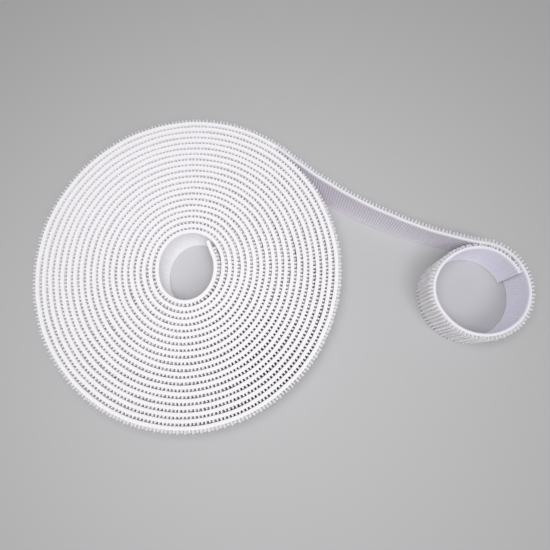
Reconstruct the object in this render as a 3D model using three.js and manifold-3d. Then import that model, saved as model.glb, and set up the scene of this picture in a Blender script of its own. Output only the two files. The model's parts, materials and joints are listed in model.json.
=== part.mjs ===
// A roll of woven hook tape, wound on itself with no core and standing on one selvedge.
// The hooks face outwards on every turn. The loose tail runs off the roll in a gentle bend
// and ends in a small curl, whose free end is lapped inside the curl's own start.
// Millimetres, +Z up. The tape is drawn in plan as one centre line, from the inner end of
// the roll outwards, and every stretch of it is a strip along that line raised to the
// tape's width. Left of the line is the hook face and right of it is the plain back.

import * as THREE from 'three';
import { mergeGeometries, mergeVertices } from 'three/addons/utils/BufferGeometryUtils.js';
import Module from 'manifold-3d';

const DEG = Math.PI / 180;
const TURN = 2 * Math.PI;

// Tape section
const TAPE_WIDTH = 20;
const WEB_THICKNESS = 1.1;
const HOOK_HEIGHT = 1.15;
const TURN_SLACK = 0.18;
const TURN_PITCH = WEB_THICKNESS + HOOK_HEIGHT + TURN_SLACK;

// Wound roll, a spiral that runs clockwise outwards and is a little out of round
const TURNS = 20;
const BORE_RADIUS = 10.6;
const START_ANGLE = 22 * DEG;
const LEAVE_ANGLE = 50 * DEG;
const OVAL = 0.95;
const OVAL_AXIS = 80 * DEG;
const FIRST_TURN_SLACK = 0.8;
const FIRST_TURN_FADE = 0.35;
const INNER_TIP_GAP = 0.65;

// Loose tail and curl
const TAIL_LENGTH = 86;
const TAIL_BEND_RADIUS = 160;
const CURL_RADIUS = 18.2;
const CURL_SWEEP = 420 * DEG;
const LAP_STARTS = 245 * DEG;
const LAP_SETTLES = 335 * DEG;
const CURL_HOOKS_END = 320 * DEG;

// Hook field: rows of hooks on a thin slice of the weave, inside the bare selvedges
const HOOK_ROWS = 4;
const HOOK_SPACING = 6.5;
const HOOK_ROOT_RADIUS = 0.45;
const HOOK_ROOT_DEPTH = 0.2;
const HOOK_REACH = 0.8;
const HOOK_GROUND = 0.35;
const SELVEDGE = 1.6;
const BARE_UNDER_TAIL = 11;

// Clearances: hook slice to web, and web to web and slice to slice where the tape bends
const SLICE_GAP = 0.3;
const BEND_GAP = 0.5;
const SLICE_SETBACK = 1;

// Fineness of the facets and of the measures taken on the lines
const STEPS_PER_TURN = 30;
const TAIL_STEPS = 6;
const CURL_STEP = 15 * DEG;
const POINTS_PER_FACET = 4;
const SMALL_TURN = 0.001;
const TIP_PASSES = 6;
const MERGE_DISTANCE = 1e-5;

const backFace = -WEB_THICKNESS / 2;
const hookFace = WEB_THICKNESS / 2;
const sliceBack = hookFace + SLICE_GAP;
const sliceFace = sliceBack + HOOK_GROUND;

const polar = (centre, radius, angle) =>
  new THREE.Vector2(centre.x + radius * Math.cos(angle), centre.y + radius * Math.sin(angle));

const steps = (from, to, count) =>
  Array.from({ length: count + 1 }, (_, i) => from + ((to - from) * i) / count);

// Centre line of the roll
const rollCentre = new THREE.Vector2(0, 0);
const rollTurns = TURNS - (LEAVE_ANGLE - START_ANGLE) / TURN;

function rollRadius(turn) {
  const angle = START_ANGLE - turn * TURN;
  const firstTurn = FIRST_TURN_SLACK * (1 - Math.exp(-turn / FIRST_TURN_FADE));
  const outOfRound = OVAL * Math.cos(2 * (angle - OVAL_AXIS));
  return BORE_RADIUS + WEB_THICKNESS / 2 + TURN_PITCH * turn + firstTurn + outOfRound;
}

const rollPoint = (turn) => polar(rollCentre, rollRadius(turn), START_ANGLE - turn * TURN);

// The inner end springs out straight until its tip lies against the second turn
function innerTip() {
  let angle = 0;
  for (let pass = 0; pass < TIP_PASSES; pass += 1) {
    const room = rollRadius(1 - angle / TURN) - WEB_THICKNESS - INNER_TIP_GAP;
    angle = Math.acos(Math.min(rollRadius(0) / room, 1));
  }
  return polar(rollCentre, rollRadius(0) / Math.cos(angle), START_ANGLE + angle);
}

const rollSteps = Math.round(rollTurns * STEPS_PER_TURN);
const rollLine = [innerTip(), ...steps(0, rollTurns, rollSteps).map(rollPoint)];

// Centre line of the tail, an arc that unbends away from the roll
const leavePoint = rollPoint(rollTurns);
const leaveHeading = leavePoint.clone().sub(rollPoint(rollTurns - SMALL_TURN)).angle();
const bendCentre = polar(leavePoint, TAIL_BEND_RADIUS, leaveHeading + TURN / 4);

function tailLine(from, to) {
  const angle = (length) => leaveHeading - TURN / 4 + length / TAIL_BEND_RADIUS;
  return steps(from, to, TAIL_STEPS).map((length) => polar(bendCentre, TAIL_BEND_RADIUS, angle(length)));
}

// Centre line of the curl, which steps inside its own start by one turn's pitch
const tailEnd = tailLine(0, TAIL_LENGTH).at(-1);
const curlHeading = leaveHeading + TAIL_LENGTH / TAIL_BEND_RADIUS;
const curlCentre = polar(tailEnd, CURL_RADIUS, curlHeading - TURN / 4);

function curlPoint(sweep) {
  const lap = THREE.MathUtils.smoothstep(sweep, LAP_STARTS, LAP_SETTLES);
  return polar(curlCentre, CURL_RADIUS - TURN_PITCH * lap, curlHeading + TURN / 4 - sweep);
}

const curlLine = (from, to) =>
  steps(from, to, Math.ceil((to - from) / CURL_STEP)).map(curlPoint);

// A line that keeps a distance to the left of another
function offsetLine(line, offset) {
  return line.map((point, i) => {
    const before = line[Math.max(i - 1, 0)];
    const after = line[Math.min(i + 1, line.length - 1)];
    const along = after.clone().sub(before).normalize();
    return new THREE.Vector2(point.x - along.y * offset, point.y + along.x * offset);
  });
}

// A strip of tape between two distances to the left of a line and between two heights
function strip(line, near, far, low, high) {
  const outline = [...offsetLine(line, near), ...offsetLine(line, far).reverse()];
  const settings = { depth: high - low, bevelEnabled: false };
  return new THREE.ExtrudeGeometry(new THREE.Shape(outline), settings).translate(0, 0, low);
}

const web = (line) => strip(line, backFace, hookFace, 0, TAPE_WIDTH);

// One hook: a three-sided filament, thick at its root, whose point leans over to one side
function hook() {
  const length = HOOK_ROOT_DEPTH + HOOK_HEIGHT;
  const filament = new THREE.ConeGeometry(HOOK_ROOT_RADIUS, length, 3);
  filament.translate(0, length / 2 - HOOK_ROOT_DEPTH, 0);
  const lean = new THREE.Matrix4().makeShear(0, 0, HOOK_REACH / HOOK_HEIGHT, 0, 0, 0);
  return filament.applyMatrix4(lean);
}

// Hooks in rows on each facet of a face, turned over to alternate sides like a chequerboard
function hookRows(face) {
  const rowPitch = (TAPE_WIDTH - 2 * SELVEDGE) / HOOK_ROWS;
  const hooks = [];
  face.slice(1).forEach((end, facet) => {
    const start = face[facet];
    const along = end.clone().sub(start);
    const columns = Math.max(Math.round(along.length() / HOOK_SPACING), 1);
    const middle = start.clone().lerp(end, 0.5);
    along.normalize();
    const outward = new THREE.Vector3(-along.y, along.x, 0);
    for (let column = 0; column < columns; column += 1) {
      const fromMiddle = (column - (columns - 1) / 2) * HOOK_SPACING;
      const root = middle.clone().addScaledVector(along, fromMiddle);
      for (let row = 0; row < HOOK_ROWS; row += 1) {
        const lean = new THREE.Vector3(along.x, along.y, 0);
        if ((row + column + facet * columns) % 2 === 1) lean.negate();
        const place = new THREE.Matrix4()
          .makeBasis(lean, outward, lean.clone().cross(outward))
          .setPosition(root.x, root.y, SELVEDGE + rowPitch * (row + 0.5));
        hooks.push(hook().applyMatrix4(place));
      }
    }
  });
  return mergeGeometries(hooks);
}

// Solids that are joined
const wasm = await Module();
wasm.setup();

function toSolid(geometry) {
  const bare = geometry.clone();
  bare.deleteAttribute('normal');
  bare.deleteAttribute('uv');
  const merged = mergeVertices(bare, MERGE_DISTANCE);
  return new wasm.Manifold(new wasm.Mesh({
    numProp: 3,
    vertProperties: new Float32Array(merged.attributes.position.array),
    triVerts: new Uint32Array(merged.index.array),
  }));
}

function toGeometry(solid) {
  const mesh = solid.getMesh();
  const geometry = new THREE.BufferGeometry();
  geometry.setAttribute('position', new THREE.BufferAttribute(mesh.vertProperties, 3));
  geometry.setIndex(new THREE.BufferAttribute(mesh.triVerts, 1));
  return geometry;
}

// The slice of weave over a stretch of web, with its hooks standing on it
function hookField(line) {
  const slice = strip(line, sliceBack, sliceFace, SELVEDGE, TAPE_WIDTH - SELVEDGE);
  const hooks = hookRows(offsetLine(line, sliceFace));
  return toGeometry(toSolid(slice).add(toSolid(hooks)));
}

// Least gap between the faces of neighbouring turns, measured on points along the roll
function leastTurnGap(line) {
  const points = line.slice(1).flatMap((point, i) =>
    steps(0, 1, POINTS_PER_FACET).map((share) => line[i].clone().lerp(point, share)));
  const halfTurn = (STEPS_PER_TURN * (POINTS_PER_FACET + 1)) / 2;
  let least = Infinity;
  points.forEach((point, i) => {
    points.slice(i + halfTurn).forEach((other) => {
      least = Math.min(least, point.distanceTo(other));
    });
  });
  return least - WEB_THICKNESS;
}

console.log(`least gap between turns of the roll: ${leastTurnGap(rollLine).toFixed(2)} mm`);

// Where the tape bends: off the roll, half-way along the tail, at the curl and at its lap
const tailMiddle = TAIL_LENGTH / 2;
const halfGap = BEND_GAP / 2;
const curlGap = halfGap / CURL_RADIUS;
const lapGap = halfGap / (CURL_RADIUS - TURN_PITCH);
const curlSetback = (halfGap + SLICE_SETBACK) / CURL_RADIUS;
const rollGap = halfGap / (TURN * rollRadius(rollTurns));
const rollSetback = (halfGap + SLICE_SETBACK) / (TURN * rollRadius(rollTurns));

const lineToGap = [...rollLine.slice(0, -1), rollPoint(rollTurns - rollGap)];

// The outer turn's hooks start where the tail, wound back against the roll, is clear of them
const facetLength = (TURN * rollRadius(rollTurns - 1)) / STEPS_PER_TURN;
const bareFacets = Math.ceil(BARE_UNDER_TAIL / facetLength);
const outerTurn = [
  ...rollLine.slice(bareFacets - STEPS_PER_TURN - 1, -1),
  rollPoint(rollTurns - rollSetback),
];

const weave = () => new THREE.MeshStandardMaterial({ color: 0xf0eef5, roughness: 0.75, metalness: 0 });
const filament = () => new THREE.MeshStandardMaterial({ color: 0xebe7ea, roughness: 0.5, metalness: 0 });

const roll = new THREE.Group();

function addPiece(name, geometry, material) {
  const mesh = new THREE.Mesh(geometry, material);
  mesh.name = name;
  roll.add(mesh);
}

addPiece('wound_web', web(lineToGap), weave());
addPiece('outer_turn_hooks', hookField(outerTurn), filament());

const tailStretches = {
  tail_root: [0, tailMiddle],
  tail_end: [tailMiddle, TAIL_LENGTH],
};
for (const [name, [from, to]] of Object.entries(tailStretches)) {
  const inset = halfGap + SLICE_SETBACK;
  addPiece(`${name}_web`, web(tailLine(from + halfGap, to - halfGap)), weave());
  addPiece(`${name}_hooks`, hookField(tailLine(from + inset, to - inset)), filament());
}

addPiece('curl_web', web(curlLine(curlGap, LAP_SETTLES - lapGap)), weave());
addPiece('curl_hooks', hookField(curlLine(curlSetback, CURL_HOOKS_END)), filament());
addPiece('free_end_web', web(curlLine(LAP_SETTLES + lapGap, CURL_SWEEP)), weave());

// The part's origin is under the middle of its outline, on the surface that it stands on
const box = new THREE.Box3().setFromObject(roll);
const middle = box.getCenter(new THREE.Vector3());
roll.position.set(-middle.x, -middle.y, -box.min.z);

export default roll;
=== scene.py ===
"""Looks of a roll of woven hook tape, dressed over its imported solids.

The tape is made flat, as it leaves the loom, and then wound along the centre line that the
solids follow: the inner flap, the roll, the loose tail and the lapped curl. On the flat tape
a point is (along, out, up): along the tape from its inner end, out of the web's middle
towards the hooks, and up from the lower selvedge. Metres, +Z up.
"""

import json
import math
from collections.abc import Sequence
from typing import NamedTuple

import bmesh
import bpy
import numpy as np
from mathutils import Matrix, Vector


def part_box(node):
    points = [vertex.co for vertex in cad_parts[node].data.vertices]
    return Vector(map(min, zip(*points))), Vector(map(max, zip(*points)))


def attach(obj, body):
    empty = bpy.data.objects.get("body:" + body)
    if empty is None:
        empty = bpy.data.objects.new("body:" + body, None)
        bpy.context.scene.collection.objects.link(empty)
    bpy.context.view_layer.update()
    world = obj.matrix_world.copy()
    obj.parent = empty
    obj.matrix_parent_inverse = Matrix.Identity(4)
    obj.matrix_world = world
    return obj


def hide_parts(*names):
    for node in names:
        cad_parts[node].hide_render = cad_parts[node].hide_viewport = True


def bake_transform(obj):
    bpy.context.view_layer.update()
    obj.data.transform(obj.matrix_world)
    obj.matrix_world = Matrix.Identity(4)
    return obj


bl_info = {
    "name": "Hook Tape Roll",
    "version": (1, 0, 0),
    "blender": (4, 5, 0),
    "location": "View3D > Sidebar > Tape",
    "description": "Winds a woven hook tape over the solids of its roll, tail and curl",
    "category": "Object",
}

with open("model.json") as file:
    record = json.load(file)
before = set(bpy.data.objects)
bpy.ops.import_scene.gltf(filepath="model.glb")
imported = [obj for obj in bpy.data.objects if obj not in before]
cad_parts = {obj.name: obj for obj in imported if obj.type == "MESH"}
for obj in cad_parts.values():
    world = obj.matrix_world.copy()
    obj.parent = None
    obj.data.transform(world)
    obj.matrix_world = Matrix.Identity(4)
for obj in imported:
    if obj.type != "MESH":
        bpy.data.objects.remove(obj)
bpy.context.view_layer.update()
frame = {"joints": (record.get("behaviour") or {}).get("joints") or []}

MM = 0.001
DEG = math.pi / 180
TURN = 2 * math.pi

# Centre line of the tape in plan, as the solids have it
TAPE_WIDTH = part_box("wound_web")[1].z
WEB_THICKNESS = 1.1 * MM
TURN_PITCH = 2.43 * MM
TURNS = 20
BORE_RADIUS = 10.6 * MM
START_ANGLE = 22 * DEG
LEAVE_ANGLE = 50 * DEG
OVAL = 0.95 * MM
OVAL_AXIS = 80 * DEG
FIRST_TURN_SLACK = 0.8 * MM
FIRST_TURN_FADE = 0.35
INNER_TIP_GAP = 0.65 * MM
TIP_PASSES = 6
TAIL_LENGTH = 86 * MM
TAIL_BEND_RADIUS = 160 * MM
CURL_RADIUS = 18.2 * MM
CURL_SWEEP = 420 * DEG
LAP_STARTS = 245 * DEG
LAP_SETTLES = 335 * DEG
ROLL_TURNS = TURNS - (LEAVE_ANGLE - START_ANGLE) / TURN
POINTS_PER_TURN = 720
FLAP_POINTS = 30
TAIL_POINTS = 300
CURL_POINTS = 600

# How the tape strays from that line: outwards in waves of (length, size) in mm, up within its
# play in waves of (metres a radian, share), and the tail's top by (past the roll, lean) in mm
STRAY_WAVES = ((41, 0.05), (23.7, 0.04), (12.9, 0.025))
EDGE_PLAY = 0.3 * MM
MEAN_PLAY = 0.5
PLAY_WAVES = ((0.31, 0.3), (0.043, 0.2))
TAIL_LEANS = ((0, 0), (20, 0.5), (45, 0), (80, -1.4), (112, 0))

# Weave: five ribs on the back for every four columns of hooks
PICK = 1.4 * MM
PICKS_PER_REPEAT = 20
PICK_TOLERANCE = 0.01
RIBS_PER_PICK = 5 / 4
RIB_DEPTH = 0.12 * MM
RIB_STEPS = 8
BENT_RELIEF = 0.4
WARP_PITCH = 0.62 * MM
MERGE_DISTANCE = 0.01 * MM

# Selvedges: an edge is its swell and its rounding, pressed in the roll and loose on the tail
SELVEDGE = 1.6 * MM
SWELL_ENDS = 0.6 * SELVEDGE
FIELD_STARTS = 1.1 * SELVEDGE
WOUND_EDGE = (0.17 * MM, 0.32 * MM)
LOOSE_EDGE = (0.03 * MM, 0.5 * MM)
LOOSENS_OVER = 60 * MM
ROUND_POINTS = 5

# Hooks: filament loops, cut on one side, in rows that face alternate ways
HOOK_ROWS = 21
HOOK_MARGIN = 0.7 * MM
HOOK_SINK = 0.15 * MM
HOOK_BEND = 0.16 * MM
BEND_STEPS = 3
TIP_TAPER = 0.7
STUB_SHARE = 0.72
FILAMENT_SIDES = 4
LEAN_SPREAD = 0.1
CRUSHED_LEAN = 0.75
BARE_PICKS = 2
SPRUNG_PICKS = 16
HEIGHT_SPREAD = 0.04
SHORTER_COLUMNS = 0.15
EDGE_ROWS = (0, 1, 16, 17, 18, 19, 20)
UNDER_TAIL = 14 * MM
MOST_HOOKS = 4200

# The map that the finishes read on each piece, and how a hook's side view lies on it
TAPE_MAP = "OFBake"
MAP_WIDTH = 4 * HOOK_BEND
MAP_HEIGHT = 1.2
MAP_FOOT = 0.15

# Finish of the threads and filaments
BACK_STARTS = (0.49, 0.51)
RIB_FLANK = (0.0, 0.55)
COLUMN_PHASE = 0.25
FIELD_FADE = (0.3 * SELVEDGE, 1.8 * SELVEDGE)
WARP_MARK = 0.2
EDGE_MARK = 0.3
MOTTLE_SCALE, MOTTLE_DETAIL = 260, 2
BUMP_HEIGHT = 0.15 * MM
CLOTH_ROUGHNESS = 0.78
CROWN_GLOSS = 0.16
MOTTLE_ROUGHNESS = 0.08
SPOT_SCALE, SPOT_DETAIL = 900, 1
SPOT_SHARE = 0.25
FILAMENT_ROUGHNESS = 0.5
BEND_GLOSS = 0.18

# The floor, the soft lamps and the photograph's camera
FLOOR_REACH = 4
KEY_PLACE = (230 * MM, -340 * MM, 950 * MM)
KEY_SIZE = 500 * MM
FILL_PLACE = (-12 * MM, -32 * MM, 240 * MM)
FILL_SIZE = 100 * MM
CAMERA_PLACE = (0.12 * MM, -41.7 * MM, 202.57 * MM)
CAMERA_TURN = (11.764 * DEG, 0.81 * DEG, 0)
CLIP_START, CLIP_END = 0.01, 20
SENSOR_WIDTH = 36
FOCAL_PIXELS = 485
PHOTO_PIXELS = 550
LENS = SENSOR_WIDTH * FOCAL_PIXELS / PHOTO_PIXELS


def hinge(name):
    """Where a joint's axis stands in plan, as a complex number."""
    joint = next(j for j in frame["joints"] if j["name"] == name)
    return complex(*joint["pos_m"][:2])


def roll_radius(turn):
    """Distance of the tape's middle from the roll's middle, that many turns out."""
    angle = START_ANGLE - TURN * turn
    first_turn = FIRST_TURN_SLACK * (1 - np.exp(-turn / FIRST_TURN_FADE))
    out_of_round = OVAL * np.cos(2 * (angle - OVAL_AXIS))
    return BORE_RADIUS + WEB_THICKNESS / 2 + TURN_PITCH * turn + first_turn + out_of_round


def roll_points(turn):
    """Points of the roll's line in plan about its middle, as complex numbers."""
    return roll_radius(turn) * np.exp(1j * (START_ANGLE - TURN * turn))


def inner_tip():
    """End of the flap that springs out until it lies against the second turn."""
    angle = 0.0
    for _ in range(TIP_PASSES):
        room = roll_radius(1 - angle / TURN) - WEB_THICKNESS - INNER_TIP_GAP
        angle = math.acos(min(roll_radius(0) / room, 1))
    return roll_radius(0) / math.cos(angle) * np.exp(1j * (START_ANGLE + angle))


def smooth(value, low, high):
    """0 below low and 1 above high, with a smooth step between them."""
    share = np.clip((value - low) / (high - low), 0, 1)
    return share * share * (3 - 2 * share)


class TapeLine:
    """The tape's centre line as closely spaced points, with the length up to each."""

    def __init__(self):
        turns = np.linspace(0, ROLL_TURNS, round(ROLL_TURNS * POINTS_PER_TURN))
        roll = roll_points(turns)
        flap = np.linspace(inner_tip(), roll[0], FLAP_POINTS)[:-1]

        heading = np.angle(roll[-1] - roll[-2])
        bend = roll[-1] + TAIL_BEND_RADIUS * np.exp(1j * (heading + TURN / 4))
        run = np.linspace(0, TAIL_LENGTH, TAIL_POINTS)[1:]
        tail = bend + TAIL_BEND_RADIUS * np.exp(
            1j * (heading - TURN / 4 + run / TAIL_BEND_RADIUS)
        )

        curl_heading = heading + TAIL_LENGTH / TAIL_BEND_RADIUS
        middle = tail[-1] + CURL_RADIUS * np.exp(1j * (curl_heading - TURN / 4))
        sweep = np.linspace(0, CURL_SWEEP, CURL_POINTS)[1:]
        radius = CURL_RADIUS - TURN_PITCH * smooth(sweep, LAP_STARTS, LAP_SETTLES)
        curl = middle + radius * np.exp(1j * (curl_heading + TURN / 4 - sweep))

        points = np.concatenate([flap, roll, tail, curl])
        self.points = points + hinge("tail_peel") - roll[-1]
        self.lengths = np.append(0, np.cumsum(np.abs(np.diff(points))))
        ahead = np.gradient(points, self.lengths)
        self.left = 1j * ahead / np.abs(ahead)

        self.end = self.lengths[-1]
        self.second_turn = self.lengths[len(flap) + POINTS_PER_TURN]
        self.leave = self.lengths[len(flap) + len(roll) - 1]
        self.outer_turn = self.lengths[len(flap) + len(roll) - POINTS_PER_TURN]
        self.tail_end = self.leave + TAIL_LENGTH
        self.lap = np.interp(LAP_SETTLES, sweep, self.lengths[-len(sweep):])

    def place(self, along):
        """Points on the line and the directions out of its hook face there."""
        point, left = (
            np.interp(along, self.lengths, found.real)
            + 1j * np.interp(along, self.lengths, found.imag)
            for found in (self.points, self.left)
        )
        return point, left / np.abs(left)

    def upright(self, along):
        """The point half-way up the tape at that length."""
        point = self.place(along)[0]
        return Vector((float(point.real), float(point.imag), TAPE_WIDTH / 2))


LINE = TapeLine()
PICKS = round(LINE.end / PICK)
PICK_LENGTH = LINE.end / PICKS


def pick_at(length):
    """The pick nearest to a length along the tape."""
    return round(length / PICK_LENGTH)


def unevenness(along):
    """How far the tape strays outwards, in slow waves that never quite repeat.

    A wave's length in mm also serves as its phase.
    """
    return sum(
        size * MM * np.sin(along / (length * MM) * TURN + length)
        for length, size in STRAY_WAVES
    )


def rise(along):
    """How far the tape's lower selvedge stands off the floor."""
    waves = (share * np.sin(along / length) for length, share in PLAY_WAVES)
    return EDGE_PLAY * sum(waves, MEAN_PLAY)


def lean(along):
    """How much further out the tape's top edge is than its lower one, on the loose tail."""
    past_roll, leans = np.array(TAIL_LEANS).T * MM
    return np.interp(along, LINE.leave + past_roll, leans)


def wind(flat):
    """Takes points of the flat tape to their place on the wound one."""
    along, out, up = flat.T
    point, left = LINE.place(along)
    strays = unevenness(along) + lean(along) * (up / TAPE_WIDTH - 0.5)
    plan = point + left * (out + strays)
    return np.stack([plan.real, plan.imag, up + rise(along)], axis=1)


class Stretch(NamedTuple):
    """A stretch of tape, woven as one piece from one pick to another.

    It lies on one body, or bends between two, and stands for the solids of its nodes. steps
    is the number of faces along each pick: one where the ribs are hidden between turns.
    relief is the share of the ribs' depth that is left where the back is bent inwards.
    """

    name: str
    first: int
    last: int
    bodies: tuple
    bend: tuple = ()
    weave_nodes: tuple = ()
    hook_nodes: tuple = ()
    steps: int = RIB_STEPS
    relief: float = 1.0

    @property
    def picks(self):
        return self.last - self.first

    @property
    def flat_size(self):
        return TAPE_WIDTH, self.picks * PICK_LENGTH


class Hooks(NamedTuple):
    """A field of hooks from one pick of the tape to another.

    along_lean is how far a hook leans along the tape, as a share of its height.
    """

    name: str
    first: int
    last: int
    rows: Sequence[int]
    height: float
    nylon: bpy.types.Material
    along_lean: float = LEAN_SPREAD


def bend_about(middle, before, after):
    """Where a bend starts and ends, that far before and after a joint."""
    return middle - before, middle + after


PEEL_BEND = bend_about(LINE.leave, before=5 * MM, after=15 * MM)
FLEX_BEND = bend_about(LINE.leave + TAIL_LENGTH / 2, before=17 * MM, after=17 * MM)
CURL_BEND = bend_about(LINE.tail_end, before=16 * MM, after=13 * MM)
LAP_BEND = bend_about(LINE.lap, before=9 * MM, after=10 * MM)

# Picks where a stretch or a field of hooks ends and the next starts, clear of the bends
INNER_TURN_ENDS = pick_at(LINE.second_turn)
OUTER_TURN_STARTS = pick_at(LINE.outer_turn + UNDER_TAIL)
ROLL_ENDS = pick_at(PEEL_BEND[0] - PICK)
TAIL_CUTS = [pick_at(LINE.leave + TAIL_LENGTH * share) for share in (1 / 4, 3 / 4)]
CURL_CUTS = [pick_at(CURL_BEND[1] + 2 * PICK), pick_at(LAP_BEND[0] - PICK)]

INNER_TURN = Stretch(
    "inner_turn", 0, INNER_TURN_ENDS, ("roll",),
    weave_nodes=("wound_web",), relief=BENT_RELIEF,
)
ROLL = Stretch(
    "roll", INNER_TURN_ENDS, ROLL_ENDS, ("roll",),
    weave_nodes=("wound_web",), hook_nodes=("outer_turn_hooks",), steps=1,
)
TAIL_STRETCHES = (
    Stretch(
        "tail_root", ROLL_ENDS, TAIL_CUTS[0], ("roll", "tail_root"), PEEL_BEND,
        weave_nodes=("tail_root_web",), hook_nodes=("tail_root_hooks",),
    ),
    Stretch(
        "tail_end", *TAIL_CUTS, ("tail_root", "tail_end"), FLEX_BEND,
        weave_nodes=("tail_end_web",), hook_nodes=("tail_end_hooks",),
    ),
    Stretch("curl_root", TAIL_CUTS[1], CURL_CUTS[0], ("tail_end", "curl"), CURL_BEND),
)
CURL = Stretch(
    "curl", *CURL_CUTS, ("curl",),
    weave_nodes=("curl_web",), hook_nodes=("curl_hooks",), relief=BENT_RELIEF,
)
FREE_END = Stretch(
    "free_end", CURL_CUTS[1], PICKS, ("curl", "free_end"), LAP_BEND,
    weave_nodes=("free_end_web",), relief=BENT_RELIEF,
)


# Finishes


class Value:
    """A shader socket that takes part in sums: each operator adds a Math node."""

    def __init__(self, finish, socket):
        self.finish, self.socket = finish, socket

    def maths(self, operation, first, second=0.0):
        """The output of a new Math node."""
        values = {0: first, 1: second}
        return self.finish.node("ShaderNodeMath", {"operation": operation}, values)

    def __add__(self, other):
        return self.maths("ADD", self, other)

    def __sub__(self, other):
        return self.maths("SUBTRACT", self, other)

    def __rsub__(self, other):
        return self.maths("SUBTRACT", other, self)

    def __mul__(self, other):
        return self.maths("MULTIPLY", self, other)

    def __abs__(self):
        return self.maths("ABSOLUTE", self)

    __radd__, __rmul__ = __add__, __mul__

    def wave(self):
        """0 to 1 and back for each whole number that the value passes."""
        return self.maths("SINE", self * TURN) * 0.5 + 0.5


class Finish:
    """A material under construction, with its nodes."""

    def __init__(self, name, **constants):
        self.material = bpy.data.materials.new(name)
        self.material.use_nodes = True
        self.tree = self.material.node_tree
        self.shader = self.tree.nodes["Principled BSDF"]
        for socket, value in constants.items():
            self.shader.inputs[socket.replace("_", " ").title()].default_value = value

    def node(self, kind, settings, values, output=0):
        """A new node's output, after its settings and then its sockets are filled in."""
        made = self.tree.nodes.new(kind)
        for name, setting in settings.items():
            setattr(made, name, setting)
        for socket, value in values.items():
            self.feed(made.inputs[socket], value)
        return Value(self, made.outputs[output])

    def feed(self, socket, value):
        """Links a value to a socket, or sets the socket to a constant."""
        if isinstance(value, Value):
            self.tree.links.new(value.socket, socket)
        else:
            socket.default_value = value

    def mixed(self, share, first, second):
        """A colour between two others."""
        return self.node(
            "ShaderNodeMix", {"data_type": "RGBA"}, {0: share, 6: first, 7: second}, 2
        )

    def ramp(self, value, low, high):
        """0 below low and 1 above high, with a smooth step between them."""
        settings = {"interpolation_type": "SMOOTHSTEP"}
        values = {"Value": value, "From Min": low, "From Max": high}
        return self.node("ShaderNodeMapRange", settings, values)

    def place(self):
        """The shaded point in its piece, in metres."""
        return self.node("ShaderNodeTexCoord", {}, {}, "Object")

    def own_map(self):
        """The shaded point on the tape's map."""
        return self.node("ShaderNodeUVMap", {"uv_map": TAPE_MAP}, {})

    def parts(self, vector):
        """The three numbers of a vector."""
        split = self.node("ShaderNodeSeparateXYZ", {}, {0: vector}).socket.node
        return [Value(self, output) for output in split.outputs]

    def noise(self, vector, scale, detail):
        """Soft noise between 0 and 1."""
        values = {"Vector": vector, "Scale": scale, "Detail": detail}
        return self.node("ShaderNodeTexNoise", {}, values)

    def finish(self, **values):
        """Feeds the shader's sockets and returns the material."""
        for socket, value in values.items():
            self.feed(self.shader.inputs[socket.replace("_", " ").title()], value)
        return self.material


def weave_finish(name, colours, crowns, pressed):
    """Woven nylon: cross ribs on the back, columns of threads between the hooks, selvedges.

    crowns is the colour of the back's ribs, and their valleys are painted darker as shade.
    pressed is how much of that contrast is lost where they close up.
    """
    cloth = Finish(
        name, sheen_weight=0.12, sheen_roughness=0.4, diffuse_roughness=0.5 + 0.5 * pressed
    )
    place = cloth.place()
    height = cloth.parts(place)[2]
    along, round_web, _ = cloth.parts(cloth.own_map())
    picks = along * PICKS_PER_REPEAT
    back = cloth.ramp(round_web, *BACK_STARTS)
    rib = cloth.ramp((picks * RIBS_PER_PICK).wave(), *RIB_FLANK)
    ridge = (picks - COLUMN_PHASE).wave()
    warp = (height * (1 / WARP_PITCH)).wave()
    from_edge = TAPE_WIDTH / 2 - abs(height - TAPE_WIDTH / 2)
    field = cloth.ramp(from_edge, *FIELD_FADE)
    threads = back * rib + (1 - back) * ridge * (1 - WARP_MARK + WARP_MARK * warp)
    crown = field * threads + (1 - field) * (1 - EDGE_MARK + EDGE_MARK * rib)

    mottle = cloth.noise(place, MOTTLE_SCALE, MOTTLE_DETAIL)
    # Painted shade: the back's rib valleys are coloured darker and cooler than the crowns, in
    # two tones at random
    valley = cloth.mixed(mottle, (*colours.rib_valley_shade, 1), (*colours.warm_valley_shade, 1))
    # Where the ribs are pressed, the valleys lose this painted shade and take the crowns'
    # colour
    valley = cloth.mixed(pressed, valley, (*crowns, 1))
    # Painted light: the hook face and the selvedges take the lit hook ground, brighter than
    # the weave, instead of the rib valleys' shade
    valley = cloth.mixed(back * field, (*colours.lit_hook_ground, 1), valley)
    # The back's crowns take the finish's own colour, which on the tail and in the curl is
    # painted darker and cooler as shade
    crest = cloth.mixed(back, (*colours.weave, 1), (*crowns, 1))
    colour = cloth.mixed(crown, valley, crest)

    relief = {"Strength": 0.8 - 0.4 * pressed, "Distance": BUMP_HEIGHT, "Height": crown}
    bump = cloth.node("ShaderNodeBump", {}, relief)
    roughness = CLOTH_ROUGHNESS - CROWN_GLOSS * crown + MOTTLE_ROUGHNESS * mottle
    return cloth.finish(base_color=colour, roughness=roughness, normal=bump)


def wound_weave(name, colours):
    """White weave of the roll."""
    return weave_finish(name, colours, colours.weave, pressed=1)


def loose_weave(name, colours):
    """The weave of the tail, its crowns painted darker and cooler than the roll's white as
    shade.
    """
    return weave_finish(name, colours, colours.loose_weave, pressed=0)


def curled_weave(name, colours):
    """The weave inside the curl, where the ribs close up, its crowns painted cooler as shade.
    """
    return weave_finish(name, colours, colours.curled_weave, pressed=0.7)


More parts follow.
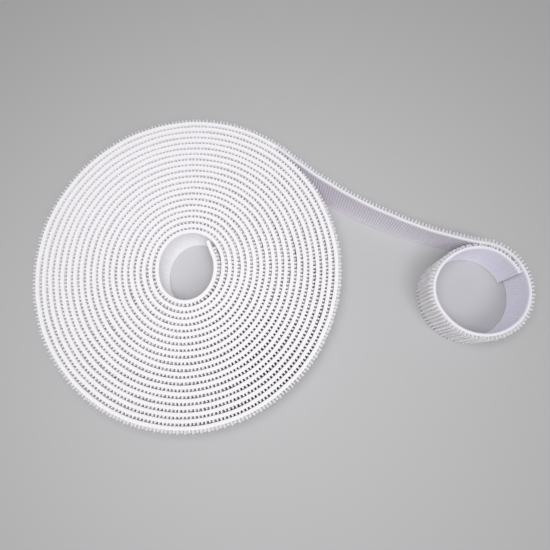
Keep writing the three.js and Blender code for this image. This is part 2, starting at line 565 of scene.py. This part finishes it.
def hook_finish(name, colours, roots, diffuse_roughness):
    """Whitish clear nylon filament, in one colour at the root and another where it bends."""
    nylon = Finish(name, diffuse_roughness=diffuse_roughness)
    up = nylon.parts(nylon.own_map())[1]
    spots = nylon.noise(nylon.place(), SPOT_SCALE, SPOT_DETAIL)
    towards_tip = (1 - SPOT_SHARE) * up + SPOT_SHARE * spots
    colour = nylon.mixed(towards_tip, (*roots, 1), (*colours.hook_tip, 1))
    return nylon.finish(base_color=colour, roughness=FILAMENT_ROUGHNESS - BEND_GLOSS * up)


def wound_hooks(name, colours):
    """Hooks pressed between white turns, whose roots take the lit hook ground, brighter and
    warmer than free hooks' roots, as painted light from the turns.
    """
    return hook_finish(name, colours, colours.lit_hook_ground, diffuse_roughness=1)


def loose_hooks(name, colours):
    """Hooks that stand free."""
    return hook_finish(name, colours, colours.hook_root, diffuse_roughness=0.8)


FINISHES = {
    made.__name__: made
    for made in (wound_weave, loose_weave, curled_weave, wound_hooks, loose_hooks)
}


def tape_finish(name):
    """One of the tape's materials, made the first time that it is asked for."""
    made = bpy.data.materials.get(name)
    return made or FINISHES[name](name, bpy.context.scene.tape_colours)


def floor_finish(colours):
    """A plain pale floor."""
    floor = Finish("floor", roughness=0.9)
    return floor.finish(base_color=(*colours.floor, 1))


# Meshes


def show(mesh, name, material):
    """A finished mesh as an object at the origin."""
    mesh.name = name
    mesh.materials.clear()
    mesh.materials.append(material)
    obj = bpy.data.objects.new(name, mesh)
    bpy.context.scene.collection.objects.link(obj)
    return obj


def numbers(items, name, width):
    """A property of all a mesh's vertices or corners as an array."""
    found = np.empty(len(items) * width, np.float32)
    items.foreach_get(name, found)
    return found.reshape(-1, width).astype(float)


def web_section(swell, rounding):
    """Outline of the web from the middle of its lower edge, up the hook face and back.

    swell is how much thicker the selvedges are on each face, and rounding their radius.
    """
    field = WEB_THICKNESS / 2
    edge = field + swell
    round_edge = [
        (edge - rounding * (1 - math.sin(a)), rounding * (1 - math.cos(a)))
        for a in np.linspace(0, TURN / 4, ROUND_POINTS)
    ]
    low = [(0, 0), *round_edge, (edge, SWELL_ENDS), (field, FIELD_STARTS)]
    top = TAPE_WIDTH - EDGE_PLAY
    face = low + [(out, top - up) for out, up in reversed(low)]
    back = [(-out, up) for out, up in reversed(face)]
    return np.array(face + back[1:])


WOUND_SECTION = web_section(*WOUND_EDGE)
LOOSE_SECTION = web_section(*LOOSE_EDGE)
SECTION_SIDES = len(WOUND_SECTION) - 1


def flat_grid(stretch):
    """A flat grid, one metre square, with its map and the faces of a stretch's web."""
    bm = bmesh.new()
    bm.loops.layers.uv.new(TAPE_MAP)
    bmesh.ops.create_grid(
        bm, x_segments=stretch.picks * stretch.steps, y_segments=SECTION_SIDES,
        size=0.5, calc_uvs=True,
    )
    mesh = bpy.data.meshes.new(stretch.name)
    bm.to_mesh(mesh)
    bm.free()
    return mesh


def roll_up(mesh, stretch):
    """Folds a flat grid round the web's section, with its ribs, and winds it into place."""
    grid = numbers(mesh.vertices, "co", 3)
    pick = stretch.first + (grid[:, 0] + 0.5) * stretch.picks
    along = pick * PICK_LENGTH
    side = np.rint((grid[:, 1] + 0.5) * SECTION_SIDES).astype(int)
    slack = smooth(along, LINE.leave - LOOSENS_OVER, LINE.leave)
    out, up = WOUND_SECTION[side].T * (1 - slack) + LOOSE_SECTION[side].T * slack
    if stretch.steps > 1:
        inside_edges = np.abs(up - TAPE_WIDTH / 2) < TAPE_WIDTH / 2 - SELVEDGE
        valley = 0.5 - 0.5 * np.sin(pick * RIBS_PER_PICK * TURN)
        out += RIB_DEPTH * stretch.relief * valley * ((out < 0) & inside_edges)
    placed = wind(np.stack([along, out, up], axis=1))
    mesh.vertices.foreach_set("co", placed.astype(np.float32).ravel())


def repeat_map(mesh, stretch):
    """Makes a strip's map start afresh with each repeat of the weave."""
    corners = numbers(mesh.uv_layers[TAPE_MAP].uv, "vector", 2).reshape(-1, 4, 2)
    repeats = (stretch.first + corners[:, :, 0] * stretch.picks) / PICKS_PER_REPEAT
    starts = repeats.min(axis=1, keepdims=True)
    corners[:, :, 0] = repeats - np.floor(starts + PICK_TOLERANCE / PICKS_PER_REPEAT)
    mesh.uv_layers[TAPE_MAP].uv.foreach_set("vector", corners.astype(np.float32).ravel())


def close_up(mesh):
    """Joins a strip's two long edges and fills its cut ends, which keep sharp rims."""
    bm = bmesh.new()
    bm.from_mesh(mesh)
    open_edges = [edge for edge in bm.edges if edge.is_boundary]
    seam = list(dict.fromkeys(vert for edge in open_edges for vert in edge.verts))
    bmesh.ops.remove_doubles(bm, verts=seam, dist=MERGE_DISTANCE)
    rims = [edge for edge in bm.edges if edge.is_boundary]
    ends = bmesh.ops.holes_fill(bm, edges=rims, sides=0)
    bmesh.ops.recalc_face_normals(bm, faces=bm.faces)
    for face in bm.faces:
        face.smooth = True
    for face in ends["faces"]:
        face.smooth = False
        for edge in face.edges:
            edge.smooth = False
    bm.to_mesh(mesh)
    bm.free()


def weave_strip(stretch, material):
    """The woven web of a stretch, rolled up from a flat grid and wound into place."""
    mesh = flat_grid(stretch)
    roll_up(mesh, stretch)
    repeat_map(mesh, stretch)
    close_up(mesh)
    return show(mesh, f"{stretch.name}_weave", material)


def add_filament(bm, root, length):
    """A filament from a root point straight out: the points and edges round its far end."""
    turned = Matrix.Translation(root) @ Matrix.Rotation(-TURN / 4, 4, "X")
    radius = bpy.context.scene.tape_sizes.filament / 2
    ring = bmesh.ops.create_circle(
        bm, segments=FILAMENT_SIDES, radius=radius, matrix=turned
    )["verts"]
    edges = list(dict.fromkeys(edge for vert in ring for edge in vert.link_edges))
    made = bmesh.ops.extrude_edge_only(bm, edges=edges)["geom"]
    end = [item for item in made if isinstance(item, bmesh.types.BMVert)]
    bmesh.ops.translate(bm, verts=end, vec=(0, length, 0))
    return end, [e for e in bm.edges if e.verts[0] in end and e.verts[1] in end]


def add_hook(bm, up, height):
    """One cut loop on the flat tape: a hook, and beside it the stub of the cut leg."""
    before = set(bm.verts)
    radius = bpy.context.scene.tape_sizes.filament / 2
    foot = WEB_THICKNESS / 2 - HOOK_SINK
    leg = HOOK_SINK + height - HOOK_BEND - radius
    end, edges = add_filament(bm, (-HOOK_BEND, foot, up), leg)
    spun = bmesh.ops.spin(
        bm, geom=end + edges, cent=(0, foot + leg, up), axis=(0, 0, -1),
        angle=TURN / 2, steps=BEND_STEPS,
    )["geom_last"]
    tip = [item for item in spun if isinstance(item, bmesh.types.BMVert)]
    middle = sum((vert.co for vert in tip), Vector()) / len(tip)
    bmesh.ops.scale(
        bm, verts=tip, vec=(TIP_TAPER,) * 3, space=Matrix.Translation(-middle)
    )
    bmesh.ops.contextual_create(
        bm, geom=[item for item in spun if isinstance(item, bmesh.types.BMEdge)]
    )
    stub = HOOK_SINK + STUB_SHARE * height
    _, edges = add_filament(bm, (HOOK_BEND, foot, up), stub)
    bmesh.ops.contextual_create(bm, geom=edges)
    return [vert for vert in bm.verts if vert not in before]


def hook_column(rows, height):
    """One column of hooks across the flat tape, alternate rows turned to face each other."""
    pitch = (TAPE_WIDTH - EDGE_PLAY - 2 * HOOK_MARGIN) / (HOOK_ROWS - 1)
    bm = bmesh.new()
    for row in rows:
        up = HOOK_MARGIN + pitch * row
        hook = add_hook(bm, up, height)
        if row % 2:
            half_turn = Matrix.Rotation(TURN / 2, 3, "Y")
            bmesh.ops.rotate(bm, verts=hook, cent=(0, 0, up), matrix=half_turn)
    bmesh.ops.recalc_face_normals(bm, faces=bm.faces)
    side_view = bm.loops.layers.uv.new(TAPE_MAP)
    for face in bm.faces:
        face.smooth = True
        for loop in face.loops:
            x, y, _ = loop.vert.co
            across = 0.5 + x / MAP_WIDTH
            upwards = (y - WEB_THICKNESS / 2) / (MAP_HEIGHT * height) + MAP_FOOT
            loop[side_view].uv = (across, upwards)
    mesh = bpy.data.meshes.new("hook_column")
    bm.to_mesh(mesh)
    bm.free()
    return mesh


def hook_field(field):
    """The hooks of a field, set out flat and then wound."""
    name, first, last, rows, height, nylon, along_lean = field
    column = show(hook_column(rows, height), name, nylon)
    array = column.modifiers.new("columns", "ARRAY")
    array.use_relative_offset, array.use_constant_offset = False, True
    array.constant_offset_displace = (PICK_LENGTH, 0, 0)
    array.count = last - first
    mesh = bpy.data.meshes.new_from_object(
        column.evaluated_get(bpy.context.evaluated_depsgraph_get())
    )
    hook_points = len(column.data.vertices) // len(rows)
    bpy.data.objects.remove(column)

    flat = numbers(mesh.vertices, "co", 3)
    hooks = np.repeat(np.arange(len(flat) // hook_points), hook_points)
    draws = np.random.default_rng(first)
    leans = draws.uniform(-1, 1, (hooks[-1] + 1, 2))[hooks]
    columns = first + hooks // len(rows)
    heights = draws.normal(1, HEIGHT_SPREAD, hooks[-1] + 1)[hooks]
    heights -= SHORTER_COLUMNS * (columns % 2)
    stands = flat[:, 1] - WEB_THICKNESS / 2
    flat[:, 1] += stands * (heights - 1)
    flat[:, 0] += (first + 0.5) * PICK_LENGTH + stands * along_lean * leans[:, 0]
    flat[:, 2] += stands * LEAN_SPREAD * leans[:, 1]
    mesh.vertices.foreach_set("co", wind(flat).astype(np.float32).ravel())
    mesh.update()
    return show(mesh, name, nylon)


def carry(piece, stretch, nodes):
    """Sets a piece in place of the solids there: on one body it moves with that body, over a
    bend it stays where it is wound.
    """
    if stretch.bend:
        start, end = (LINE.upright(along) for along in stretch.bend)
        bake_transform(piece)
    else:
        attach(piece, stretch.bodies[0])
    if nodes:
        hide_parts(*nodes)


def dress(stretch, weave_nylon, hook_fields):
    """A field of many hooks is cut into pieces, and one with every row stands for the hooks'
    solids.
    """
    weave = weave_strip(stretch, weave_nylon)
    carry(weave, stretch, stretch.weave_nodes)
    for field in hook_fields:
        nodes = stretch.hook_nodes if len(field.rows) == HOOK_ROWS else ()
        parts = math.ceil((field.last - field.first) * len(field.rows) / MOST_HOOKS)
        cuts = np.rint(np.linspace(field.first, field.last, parts + 1)).astype(int).tolist()
        for number, (first, last) in enumerate(zip(cuts, cuts[1:]), start=1):
            part = field._replace(name=f"{field.name}_{number}", first=first, last=last)
            piece = hook_field(part)
            carry(piece, stretch, nodes)
    stretch.flat_size


# Add-on


class TapeSizes(bpy.types.PropertyGroup):
    """Sizes of the hooks and of the light."""

    filament: bpy.props.FloatProperty(
        name="Filament", description="Thickness of a hook's filament",
        default=0.31 * MM, unit="LENGTH",
    )
    hook_height: bpy.props.FloatProperty(
        name="Hook height", description="Height of a free hook over the web",
        default=1.65 * MM, unit="LENGTH",
    )
    pressed_height: bpy.props.FloatProperty(
        name="Pressed height", description="Height of a hook between two turns of the roll",
        default=1.28 * MM, unit="LENGTH",
    )
    key_power: bpy.props.FloatProperty(
        name="Key light", description="Power of the wide lamp in front and to the right",
        default=3.0, unit="POWER",
    )
    fill_power: bpy.props.FloatProperty(
        name="Fill light", description="Power of the small lamp beside the camera",
        default=0.25, unit="POWER",
    )
    sky_strength: bpy.props.FloatProperty(
        name="Sky", description="Strength of the even light from all round", default=0.2,
    )


class TapeColours(bpy.types.PropertyGroup):
    """Colours of the tape and the floor."""

    weave: bpy.props.FloatVectorProperty(
        name="Weave", description="Crowns of the ribs and the selvedges",
        default=(0.95, 0.94, 0.975), subtype="COLOR",
    )
    # Painted shade: the roll's white weave made darker and cooler for the back of the loose
    # tail
    loose_weave: bpy.props.FloatVectorProperty(
        name="Shaded loose weave", description="Crowns of the ribs where the tape lies free",
        default=(0.89, 0.855, 0.95), subtype="COLOR",
    )
    # Painted shade: the roll's white weave made cooler and a little darker for the back
    # inside the curl
    curled_weave: bpy.props.FloatVectorProperty(
        name="Shaded curled weave", description="Crowns of the ribs inside the curl",
        default=(0.9, 0.885, 0.99), subtype="COLOR",
    )
    # Painted shade in the valleys between the back's ribs, darker and more lavender than the
    # crowns
    rib_valley_shade: bpy.props.FloatVectorProperty(
        name="Rib valley shade", description="Between the ribs of the back",
        default=(0.72, 0.685, 0.8), subtype="COLOR",
    )
    # Painted shade in the rib valleys too, in patches that are a little warmer
    warm_valley_shade: bpy.props.FloatVectorProperty(
        name="Warm valley shade", description="Patches of the back that are a little warmer",
        default=(0.735, 0.675, 0.735), subtype="COLOR",
    )
    # Painted light: warmer and brighter than the weave, for the ground between hook columns,
    # the selvedges and the roots of the hooks pressed between turns
    lit_hook_ground: bpy.props.FloatVectorProperty(
        name="Lit hook ground", description="Weave between the columns of hooks",
        default=(0.985, 0.958, 0.925), subtype="COLOR",
    )
    hook_root: bpy.props.FloatVectorProperty(
        name="Hook root", description="Filament where it leaves the weave",
        default=(0.91, 0.895, 0.94), subtype="COLOR",
    )
    hook_tip: bpy.props.FloatVectorProperty(
        name="Hook tip", description="Filament where it bends over",
        default=(0.975, 0.965, 0.985), subtype="COLOR",
    )
    floor: bpy.props.FloatVectorProperty(
        name="Floor", description="Plain floor under the roll", default=(0.62, 0.62, 0.63),
        subtype="COLOR",
    )


def add_lamp(name, place, size, power):
    """A round soft lamp that points at the roll."""
    lamp = bpy.data.lights.new(name, "AREA")
    lamp.shape, lamp.size, lamp.energy = "DISK", size, power
    holder = bpy.data.objects.new(name, lamp)
    holder.location = place
    towards_roll = LINE.upright(0) - Vector(place)
    holder.rotation_euler = towards_roll.to_track_quat("-Z", "Y").to_euler()
    bpy.context.scene.collection.objects.link(holder)


class TAPE_OT_stage(bpy.types.Operator):
    """Add the floor, the lamps and the photograph's camera"""

    bl_idname = "tape.stage"
    bl_label = "Stage"

    def execute(self, context):
        scene = context.scene
        sizes = scene.tape_sizes
        scene.view_settings.view_transform = "Standard"

        bm = bmesh.new()
        bmesh.ops.create_grid(bm, x_segments=1, y_segments=1, size=FLOOR_REACH)
        mesh = bpy.data.meshes.new("floor")
        bm.to_mesh(mesh)
        bm.free()
        show(mesh, "floor", floor_finish(scene.tape_colours))

        add_lamp("key", KEY_PLACE, KEY_SIZE, sizes.key_power)
        add_lamp("fill", FILL_PLACE, FILL_SIZE, sizes.fill_power)

        scene.world = bpy.data.worlds.new("sky")
        scene.world.use_nodes = True
        sky = scene.world.node_tree.nodes["Background"]
        sky.inputs["Color"].default_value = (1, 1, 1, 1)
        sky.inputs["Strength"].default_value = sizes.sky_strength

        view = bpy.data.cameras.new("camera")
        view.sensor_width, view.lens = SENSOR_WIDTH, LENS
        view.clip_start, view.clip_end = CLIP_START, CLIP_END
        camera = bpy.data.objects.new("camera", view)
        camera.location, camera.rotation_euler = CAMERA_PLACE, CAMERA_TURN
        scene.collection.objects.link(camera)
        scene.camera = camera
        return {"FINISHED"}


class TAPE_OT_roll(bpy.types.Operator):
    """Wind the roll, with every row of hooks on its outer turn and the edge rows inside"""

    bl_idname = "tape.roll"
    bl_label = "Wound roll"

    def execute(self, context):
        sizes = context.scene.tape_sizes
        wound, loose = tape_finish("wound_hooks"), tape_finish("loose_hooks")
        sprung = Hooks(
            "sprung_end_hooks", BARE_PICKS, SPRUNG_PICKS, EDGE_ROWS, sizes.hook_height, wound
        )
        inner = Hooks(
            "inner_turn_hooks", SPRUNG_PICKS, INNER_TURN_ENDS, EDGE_ROWS,
            (sizes.hook_height + sizes.pressed_height) / 2, wound,
        )
        dress(INNER_TURN, tape_finish("wound_weave"), [sprung, inner])

        inside = Hooks(
            "inside_hooks", INNER_TURN_ENDS, OUTER_TURN_STARTS, EDGE_ROWS,
            sizes.pressed_height, wound,
        )
        outside = Hooks(
            "outside_hooks", OUTER_TURN_STARTS, ROLL.last, range(HOOK_ROWS),
            sizes.hook_height, loose,
        )
        dress(ROLL, tape_finish("wound_weave"), [inside, outside])
        return {"FINISHED"}


def dress_loose(stretch, weave_name, height, along_lean=LEAN_SPREAD):
    """Dresses a stretch of the loose tape in a named finish, with every row of hooks."""
    field = Hooks(
        f"{stretch.name}_loops", stretch.first, stretch.last, range(HOOK_ROWS),
        height, tape_finish("loose_hooks"), along_lean,
    )
    dress(stretch, tape_finish(weave_name), [field])


class TAPE_OT_tail(bpy.types.Operator):
    """Lay the loose tail from the roll to the curl"""

    bl_idname = "tape.tail"
    bl_label = "Loose tail"

    def execute(self, context):
        height = context.scene.tape_sizes.hook_height
        for stretch in TAIL_STRETCHES:
            dress_loose(stretch, "loose_weave", height)
        return {"FINISHED"}


class TAPE_OT_curl(bpy.types.Operator):
    """Curl the tail's end, with the free end lapped inside"""

    bl_idname = "tape.curl"
    bl_label = "Curl"

    def execute(self, context):
        sizes = context.scene.tape_sizes
        dress_loose(CURL, "curled_weave", sizes.hook_height)
        dress_loose(FREE_END, "curled_weave", sizes.pressed_height, CRUSHED_LEAN)
        return {"FINISHED"}


class TAPE_PT_panel(bpy.types.Panel):
    """The tape's pieces, sizes and colours"""

    bl_idname = "TAPE_PT_panel"
    bl_label = "Hook tape roll"
    bl_space_type = "VIEW_3D"
    bl_region_type = "UI"
    bl_category = "Tape"

    def draw(self, context):
        for maker in MAKERS:
            self.layout.operator(maker.bl_idname)
        for group in (context.scene.tape_sizes, context.scene.tape_colours):
            for name in group.__annotations__:
                self.layout.prop(group, name)


MAKERS = (TAPE_OT_stage, TAPE_OT_roll, TAPE_OT_tail, TAPE_OT_curl)
CLASSES = (TapeSizes, TapeColours, *MAKERS, TAPE_PT_panel)


def register():
    for made in CLASSES:
        bpy.utils.register_class(made)
    bpy.types.Scene.tape_sizes = bpy.props.PointerProperty(type=TapeSizes)
    bpy.types.Scene.tape_colours = bpy.props.PointerProperty(type=TapeColours)


def unregister():
    del bpy.types.Scene.tape_colours
    del bpy.types.Scene.tape_sizes
    for made in reversed(CLASSES):
        bpy.utils.unregister_class(made)


def main():
    register()
    bpy.ops.tape.stage()
    bpy.ops.tape.roll()
    bpy.ops.tape.tail()
    bpy.ops.tape.curl()


if __name__ == "__main__":
    main()
